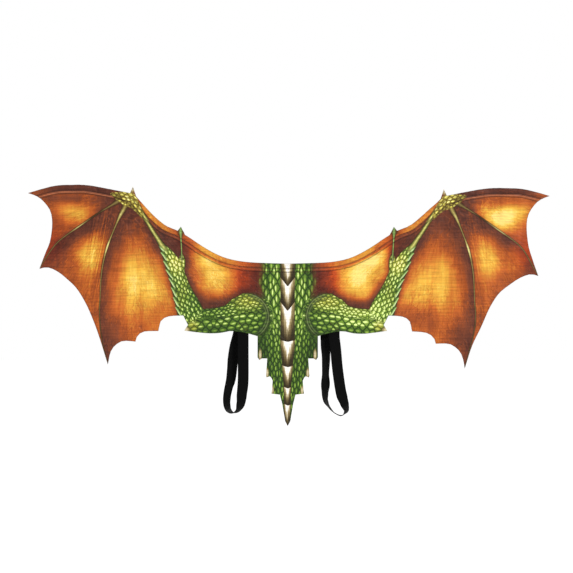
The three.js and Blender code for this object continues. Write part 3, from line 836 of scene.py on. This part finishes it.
def finish_cloth(tree, ink_colour, roughness, sheen, slub, creases=None):
    """Adds weave, slubs, seams and creases to a colour and ends the material."""
    place = add(tree, "TexCoord").outputs["Object"]
    level = add(tree, "Mapping", {"Vector": place, "Scale": (17, 1, 250)})
    slubs = add(tree, "TexNoise", {"Vector": level, "Scale": 1, "Detail": 2, "Roughness": 0.6})
    tone = add(tree, "MapRange", slubs, 0.32, 0.68, 1 - slub, 1 + 0.9 * slub)
    # The two seams get a painted shadow and the raised band between them, at 16.2 mm, a painted highlight
    for seam, width, change in ((near_seam, 2.4, 0.6), (far_seam, 2.6, 0.52), (16.2, 3.0, 1.25)):
        shade = stripe(tree, "hem", seam, 0.5, width, change, 1.0)
        tone = add(tree, "Math MULTIPLY", tone, shade)
    # Darker within 2.2 mm of the cut edge
    edge = add(tree, "MapRange", "edge", 0.0, 2.2, 0.62, 1.0)
    tone = add(tree, "Math MULTIPLY", tone, edge)
    tone = add(tree, "CombineColor", tone, tone, tone)
    toned = add(tree, "Mix RGBA", {0: 1.0, 6: ink_colour, 7: tone}, blend_type="MULTIPLY")
    threads = add(tree, "TexWave", {"Vector": place, "Scale": math.tau / 20 / weave_pitch,
                                    "Distortion": 0.4, "Detail": 1, "Detail Scale": 3},
                  wave_type="BANDS", bands_direction="Z")
    height = add(tree, "Math MULTIPLY_ADD", slubs, 0.6, threads)
    relief = add(tree, "Bump", {"Height": height, "Strength": 0.3, "Distance": 0.25 * MM})
    if creases:
        relief = add(tree, "Bump", {"Height": creases, "Strength": 0.45, "Distance": 1.1 * MM,
                                    "Normal": relief})
    coat = add(tree, "BsdfPrincipled", {
        "Base Color": toned, "Roughness": roughness, "Specular IOR Level": 0.16, "Sheen Weight": sheen,
        "Sheen Roughness": 0.4, "Normal": relief})
    add(tree, "OutputMaterial", {"Surface": coat})


printed, tree = new_material("printed_polyester_satin")
ink, crease_height = draw_print(tree)
finish_cloth(tree, ink, 0.48, 0.015, 0.2, crease_height)

# %% [markdown]
# The back of the cloth was never printed. Dye goes a little way through, so the drawing shows
# faintly on off-white cloth.

# %% The back of the cloth
back, tree = new_material("unprinted_polyester_back")
ink, crease_height = draw_print(tree)
faint = add(tree, "Mix RGBA", {0: 0.24, 6: "#ded3c6", 7: ink})
finish_cloth(tree, faint, 0.62, 0.05, 0.06, crease_height)

# %% [markdown]
# ## The wings
# The sliced sheet gets its numbers, then its folds, then its thickness towards the wearer.


# %% Build the wings
def edge_distance(mesh, points):
    """How far each vertex lies from the cut edge, in millimetres."""
    uses = {}
    for face in mesh.polygons:
        for key in face.edge_keys:
            uses[key] = uses.get(key, 0) + 1
    rim = [key for key, count in uses.items() if count == 1]
    marks = np.concatenate([points[[key[0] for key in rim]],
                            (points[[key[0] for key in rim]] + points[[key[1] for key in rim]]) / 2])
    tree = KDTree(len(marks))
    for i, mark in enumerate(marks):
        tree.insert((mark[0], 0, mark[2]), i)
    tree.balance()
    return np.array([tree.find((x, 0, z))[2] for x, _, z in points]) / MM


def dress(piece, thickness):
    """Stores the print on a layer of cloth, folds it and gives it its thickness."""
    mesh = piece.data
    points = places_of(mesh)
    fields = print_fields(points)
    fields["edge"] = edge_distance(mesh, points) + 3 * fields["pale"]
    store(mesh, fields)
    points[:, 1] -= folds(points, fields)
    mesh.vertices.foreach_set("co", points.ravel())
    solid = piece.modifiers.new("thickness", "SOLIDIFY")
    solid.thickness = thickness
    solid.offset = -1
    solid.material_offset = 1
    solid.material_offset_rim = 0
    return points


cloth_thick, hem_thick = 1.3 * MM, 0.9 * MM
wings = new_piece("printed_wings", cloth_shape, printed, back)
wing_points = dress(wings, cloth_thick)
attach(wings, "root")
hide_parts("wing_sheet")
cloth_area = sum(face.area for face in wings.data.polygons)
print("cloth area", round(cloth_area, 4), "m2, depth", wing_points[:, 1].min(), wing_points[:, 1].max())

# %% [markdown]
# ## The hem strip
# Behind the top edge runs a strip of the same cloth, turned over so that its print faces the
# wearer. It shows only from behind, as a band in the colours of the edge.

# %% Build the hem
hem_cloth, hem_tree = new_material("hem_polyester_satin")
finish_cloth(hem_tree, draw_skin(hem_tree)[0], 0.48, 0.015, 0.15)
hem = new_piece("top_hem_strip", fine_face("top_hem", 1, cloth_step), hem_cloth, back)
chance = np.random.default_rng(7)  # the hem has the same waves as the cloth it is sewn to
dress(hem, hem_thick)
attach(hem, "root")
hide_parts("top_hem")

# %% [markdown]
# ## Elastic loops
# Each loop is one length of black woven elastic, 25 mm wide. Its end is sewn behind the hem, it
# swings down behind the cloth, turns over at the bottom and comes up to the lower edge of the arm.
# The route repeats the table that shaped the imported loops, so the elastic lies where they are. A
# row of vertices is extruded along it, which is how a flat strap is made without twists.

# %% Routes of the elastic
lower_edge = -0.376 * wing_height
strap_drop, strap_from_middle, loop_width, loop_depth = 195.0, 104.0, 40.0, 34.0
strap_width, strap_thick, sewn_length = 25.0, 1.5, 22.0
cloth_back, hem_back = 0.8, 2.3  # behind the middle of the cloth
seam_gap, hem_width = 0.3, 21.0
left_route = [
    # 0 on the wing or 1 on the loop, down, out, behind, turn
    (0, 0.17, 0.1, 0.12, 0), (0, 0.6, 0.12, 0.5, 0), (0, 1, 0.21, 0.7, 6), (1, 0.17, 0.42, 0.74, 10),
    (1, 0.32, 0.545, 0.76, 16), (1, 0.46, 0.605, 0.78, 24), (1, 0.58, 0.68, 0.78, 30),
    (1, 0.67, 0.8, 0.78, 42), (1, 0.77, 0.89, 0.76, 47), (1, 0.86, 0.9, 0.72, 52),
    (1, 0.93, 0.8, 0.66, 58), (1, 0.965, 0.56, 0.56, 68), (1, 0.935, 0.26, 0.46, 62),
    (1, 0.85, 0.09, 0.38, 38), (1, 0.74, 0.03, 0.3, 20), (1, 0.6, -0.04, 0.22, 4),
    (1, 0.22, -0.046, 0.12, 0)]
right_route = [
    (0, 0.17, 0, 0.12, 0), (0, 0.6, -0.1, 0.5, 0), (0, 1, -0.4, 0.7, 10), (1, 0.14, -0.42, 0.74, 24),
    (1, 0.32, -0.4, 0.76, 42), (1, 0.5, -0.425, 0.78, 50), (1, 0.625, -0.43, 0.78, 36),
    (1, 0.74, -0.455, 0.76, 54), (1, 0.82, -0.42, 0.72, 64), (1, 0.9, -0.2, 0.66, 80),
    (1, 0.962, 0.09, 0.58, 90), (1, 0.992, 0.5, 0.48, 90), (1, 0.94, 0.77, 0.38, 66),
    (1, 0.84, 0.64, 0.3, 36), (1, 0.74, 0.48, 0.26, 8), (1, 0.46, 0.264, 0.18, 0),
    (1, 0.2, 0.14, 0.12, 0), (1, 0.06, 0.06, 0.1, 0)]


def rest_depth(x, z):
    """The depth of the hanging cloth behind its middle, in millimetres."""
    out = max(0.0, abs(x) - 150) / 450
    down = max(0.0, lower_edge - z) / (372 + lower_edge)
    near_body = math.exp(-(x / 150) ** 2)
    return 34 * out ** 1.6 - 10 * near_body + 12 * near_body * down ** 2


def strap_stations(rows, side):
    """Points in millimetres with the turn of the elastic, from the end on the hem to the last end."""
    made = []
    for on_loop, down, out, behind, turn in rows:
        z = lower_edge - down * strap_drop if on_loop else down * lower_edge
        made.append((side * (strap_from_middle + out * loop_width), behind * loop_depth, z, turn))
    on_hem = hem_back + seam_gap + strap_thick / 2
    on_cloth = cloth_back + seam_gap + strap_thick / 2
    first_z = -0.12 * hem_width
    made[0] = (made[0][0], on_hem, first_z - sewn_length, 0)
    made.insert(0, (made[0][0], on_hem, first_z, 0))
    made.append((made[-1][0], on_cloth, lower_edge, 0))
    made.append((made[-1][0], on_cloth, lower_edge + sewn_length, 0))
    return made, on_hem, on_cloth


# %% [markdown]
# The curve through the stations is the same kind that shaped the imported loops: its corners are
# eased by the distance between stations, so it doesn't overshoot where they lie close together.


# %% The curve through the stations
def centripetal(points, t):
    """A point between the inner two of four, with knots spaced by the root of the distances."""
    knots = [0.0]
    for near, far in zip(points, points[1:]):
        knots.append(knots[-1] + max(1e-4, np.linalg.norm(far - near)) ** 0.5)
    at = knots[1] + (knots[2] - knots[1]) * t
    for spans in (((0, 1), (1, 2), (2, 3)), ((0, 2), (1, 3)), ((1, 2),)):
        points = [a + (b - a) * (at - knots[i]) / (knots[j] - knots[i])
                  for a, b, (i, j) in zip(points, points[1:], spans)]
    return points[0]


def strap_route(rows, side, step=4.0):
    """Places, headings and turns along the elastic, in even steps."""
    stations, on_hem, on_cloth = strap_stations(rows, side)
    knots = np.array(stations)
    ends = np.vstack([2 * knots[0] - knots[1], knots, 2 * knots[-1] - knots[-2]])
    dense, turns = [], []
    for i in range(len(knots) - 1):
        for t in np.arange(24) / 24:
            dense.append(centripetal(list(ends[i:i + 4, :3]), t))
            eased = t * t * (3 - 2 * t)
            turns.append(knots[i][3] * (1 - eased) + knots[i + 1][3] * eased)
    dense.append(knots[-1][:3])
    turns.append(knots[-1][3])
    dense = np.array(dense)
    walked = walk(dense)
    even = np.linspace(0, walked[-1], round(walked[-1] / step) + 1)
    places = np.stack([np.interp(even, walked, dense[:, i]) for i in range(3)], axis=1)
    turns = np.radians(np.interp(even, walked, turns))
    heading = headings(places)
    floor = np.where(even < walked[-1] / 2, on_hem, on_cloth)
    places[:, 1] = np.maximum(places[:, 1], floor)
    return even, places, heading, turns


# %% Build a loop of elastic
across_count = 8


def elastic_loop(name, node, rows, side):
    even, places, heading, turns = strap_route(rows, side)
    shape = bmesh.new()
    along_layer = shape.verts.layers.float.new("strap_along")
    across_layer = shape.verts.layers.float.new("strap_across")
    shares = np.linspace(-0.5, 0.5, across_count + 1)
    origin_depth = rest_depth(0, 0) + cloth_back
    row = [shape.verts.new((share, 0, 0)) for share in shares]
    edges = [shape.edges.new(pair) for pair in zip(row, row[1:])]
    for station, (walked, place, ahead, turn) in enumerate(zip(even, places, heading, turns)):
        if station:
            grown = bmesh.ops.extrude_edge_only(shape, edges=edges)["geom"]
            edges = [item for item in grown if isinstance(item, bmesh.types.BMEdge)]
            fresh = {vertex for edge in edges for vertex in edge.verts}
            row = sorted(fresh, key=lambda vertex: vertex[across_layer])
        flat = np.array((math.cos(turn), math.sin(turn), 0))
        wide = flat - ahead * flat.dot(ahead)
        wide /= np.linalg.norm(wide)
        for vertex, share in zip(row, shares):
            point = place + wide * share * strap_width
            depth = rest_depth(point[0], max(point[2], lower_edge))
            vertex.co = (point[0] * MM, (point[1] + depth - origin_depth) * MM, (point[2] + neck_edge) * MM)
            vertex[along_layer] = walked
            vertex[across_layer] = share * strap_width
    bmesh.ops.recalc_face_normals(shape, faces=shape.faces)
    piece = new_piece(name, shape, elastic)
    solid = piece.modifiers.new("thickness", "SOLIDIFY")
    solid.thickness = 1.4 * MM
    solid.offset = 0
    rounded = piece.modifiers.new("soft_edges", "BEVEL")
    rounded.width = 0.35 * MM
    rounded.segments = 2
    rounded.limit_method = "ANGLE"
    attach(piece, "root")
    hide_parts(node)
    print(name, "length", round(even[-1]), "mm")
    return piece


# %% [markdown]
# ## Woven elastic
# The elastic is black polyester round rubber threads. The rubber makes ribs along its length, about
# 1 mm apart, and the weft crosses them in fine steps. Its colour paints a soft grey highlight on the
# ribs and leaves the grooves black in painted shade. The ribs are drawn 1.9 mm apart so that they show.

# %% Elastic material
elastic, tree = new_material("black_woven_elastic")
ribs = add(tree, "Math MULTIPLY", "strap_across", math.tau / 1.9)
ribs = add(tree, "Math COSINE", ribs)
weft = add(tree, "Math MULTIPLY", "strap_along", math.tau / 1.5)
weft = add(tree, "Math MULTIPLY_ADD", ribs, 1.6, weft)
weft = add(tree, "Math SINE", weft)
fuzz = add(tree, "TexNoise", {"Vector": add(tree, "TexCoord").outputs["Object"], "Scale": 900, "Detail": 2})
height = add(tree, "Math MULTIPLY_ADD", weft, 0.35, ribs)
# Painted highlight on the ribs and the steps of the weft, painted shade in the grooves
tone = add(tree, "Math MULTIPLY_ADD", height, 0.22, fuzz)
black = add(tree, "ValToRGB", tone, stops=[(0.15, "#020202"), (0.55, "#060606"), (0.95, "#0e0e0e")])
relief = add(tree, "Bump", {"Height": height, "Strength": 0.6, "Distance": 0.3 * MM})
coat = add(tree, "BsdfPrincipled", {"Base Color": black, "Roughness": 0.7, "Specular IOR Level": 0.06,
                                    "Normal": relief})
add(tree, "OutputMaterial", {"Surface": coat})
left_loop = elastic_loop("left_elastic_loop", "strap_left", left_route, -1)
right_loop = elastic_loop("right_elastic_loop", "strap_right", right_route, 1)

# %% [markdown]
# ## Thread
# Two rows of stitches hold the hem, and a box of stitches holds each end of the elastic. A stitch
# is a grain of rice: a small ball, stretched along the seam and pressed half into the cloth. Each
# is a ball of six by four faces, because there are many hundreds of them.


# %% Thread material and stitches
thread, tree = new_material("polyester_sewing_thread")
twist = add(tree, "TexNoise", {"Vector": add(tree, "TexCoord").outputs["Object"], "Scale": 1400, "Detail": 1})
thread_colour = add(tree, "ValToRGB", twist, stops=[(0.3, "#3a1a10"), (0.7, "#6b3620")])
coat = add(tree, "BsdfPrincipled", {"Base Color": thread_colour, "Roughness": 0.6, "Specular IOR Level": 0.4})
add(tree, "OutputMaterial", {"Surface": coat})
stitch_pitch, stitch_half, thread_half = 4.0, 1.45, 0.42
run_length = 12  # stitches made together: a short run is quick, whatever is already there


def add_run(shape, run):
    """Puts a short run of stitches with the others and starts a new one."""
    kept = bpy.data.meshes.new("run")
    run.to_mesh(kept)
    run.free()
    shape.from_mesh(kept)
    bpy.data.meshes.remove(kept)
    return bmesh.new()


def surface_of(piece):
    """What a ray meets on a piece as it is seen, with its modifiers."""
    shown = piece.evaluated_get(bpy.context.evaluated_depsgraph_get())
    mesh = shown.to_mesh()
    found = BVHTree.FromPolygons([v.co.copy() for v in mesh.vertices], [f.vertices[:] for f in mesh.polygons])
    shown.to_mesh_clear()
    return found


def sew(shape, surface, line, facing, pitch=stitch_pitch):
    """Stitches along a line of (x, z) points in metres, on the side that looks along Y by facing."""
    line = np.array(line)
    walked = walk(line)
    run, made = bmesh.new(), 0
    for start in np.arange(pitch * MM / 2, walked[-1], pitch * MM):
        ends = []
        for at in (start - stitch_half * MM, start + stitch_half * MM):
            x, z = np.interp(at, walked, line[:, 0]), np.interp(at, walked, line[:, 1])
            ends.append(surface.ray_cast(Vector((x, facing, z)), Vector((0, -facing, 0)))[0])
        if None in ends or (ends[1] - ends[0]).length > 3 * stitch_half * MM:
            continue
        turn = (ends[1] - ends[0]).to_track_quat("X", "Z").to_matrix().to_4x4()
        size = Matrix.Diagonal((stitch_half * MM, thread_half * MM, thread_half * MM, 1))
        middle = (ends[0] + ends[1]) / 2 + Vector((0, facing * 0.1 * MM, 0))
        bmesh.ops.create_uvsphere(run, u_segments=6, v_segments=4, radius=1,
                                  matrix=Matrix.Translation(middle) @ turn @ size)
        made += 1
        if made % run_length == 0:
            run = add_run(shape, run)
    add_run(shape, run)
    return made


def below_top_edge(rows, distance, side):
    """The line that runs this far below the top edge on one wing, as (x, z) in metres."""
    path = smooth_path(rows)
    heading = headings(path[:, :2])
    across = path[:, 0] + heading[:, 1] * distance
    up = path[:, 1] - heading[:, 0] * distance
    out, lower = hang_shift(across, up) if side > 0 else (0, 0)
    return np.stack([side * (across + out) * MM, (up - lower + neck_edge) * MM], axis=1)


# %% Sew the hem
front, rear = surface_of(wings), surface_of(hem)
for name, surface, facing in (("hem_stitches_front", front, -1), ("hem_stitches_back", rear, 1)):
    shape, made = bmesh.new(), 0
    for side in (-1, 1):
        for rows in (top_edge, top_edge_outside):
            for distance in (near_seam, far_seam):
                made += sew(shape, surface, below_top_edge(rows, distance, side), facing)
    piece = new_piece(name, shape, thread)
    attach(piece, "root")
    print(name, made, "stitches")

# %% [markdown]
# A box with a diagonal is the usual way to sew down webbing. The upper end is seen on the elastic,
# behind the hem. The lower end lies behind the arm, so its box shows on the printed side.

# %% Sew the ends of the elastic
box_half, box_margin = 9, 3  # half the box's width, and how far it stays from the end
shape, made = bmesh.new(), 0
for side, rows, loop in ((-1, left_route, left_loop), (1, right_route, right_loop)):
    stations = strap_stations(rows, side)[0]
    for near, far, surface, facing in (
            (stations[0], stations[1], surface_of(loop), 1), (stations[-1], stations[-2], front, -1)):
        low, high = sorted((near[2], far[2]))
        left, right = near[0] - box_half, near[0] + box_half
        low, high = low + box_margin, high - box_margin
        corners = [(left, high), (right, high), (right, low), (left, low), (left, high), (right, low)]
        box = [(x * MM, (z + neck_edge) * MM) for x, z in corners]
        for first, last in zip(box, box[1:]):
            made += sew(shape, surface, (first, last), facing)
ends = new_piece("elastic_end_stitches", shape, thread)
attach(ends, "root")
print("box stitches", made)

# %% [markdown]
# ## Floor and light
# A white paper floor lies far below and the room is white. One wide lamp stands to the right of the
# camera, and one behind the wings lights their back and the paper.

# %% The floor and the light
floor_shape = bmesh.new()
floor_half, floor_drop = 40, 1.3
bmesh.ops.create_grid(floor_shape, x_segments=1, y_segments=1, size=floor_half)
bmesh.ops.translate(floor_shape, vec=(0, 0, -floor_drop), verts=floor_shape.verts)
paper, tree = new_material("white_paper_backdrop")
grain = add(tree, "TexNoise", {"Vector": add(tree, "TexCoord").outputs["Object"], "Scale": 3, "Detail": 2})
paper_colour = add(tree, "ValToRGB", grain, stops=[(0.3, "#fbfbfb"), (0.7, "#ffffff")])
coat = add(tree, "BsdfPrincipled", {"Base Color": paper_colour, "Roughness": 0.9, "Specular IOR Level": 0.1})
add(tree, "OutputMaterial", {"Surface": coat})
floor = new_piece("floor", floor_shape, paper)


def sun(name, toward, strength, softness):
    """A wide soft light from far away: toward points from the wings to the light."""
    light = bpy.data.lights.new(name, "SUN")
    light.energy, light.angle = strength, math.radians(softness)
    made = bpy.data.objects.new(name, light)
    scene.collection.objects.link(made)
    made.rotation_euler = Vector(toward).to_track_quat("Z", "Y").to_euler()


world = bpy.data.worlds.new("studio")
scene.world = world
world.use_nodes = True
sky = world.node_tree
sky.nodes.clear()
seen = add(sky, "LightPath").outputs["Is Camera Ray"]
strength = add(sky, "MapRange", {"Value": seen, 3: 0.42, 4: 1.0})
glow = add(sky, "Background", {"Color": (1, 1, 1, 1), "Strength": strength})
add(sky, "OutputWorld", {"Surface": glow})
sun("key", (0.45, -0.78, 0.5), 2.17, 14)
sun("back", (0.5, 0.7, 0.6), 2.0, 25)
scene.view_settings.view_transform = "Standard"
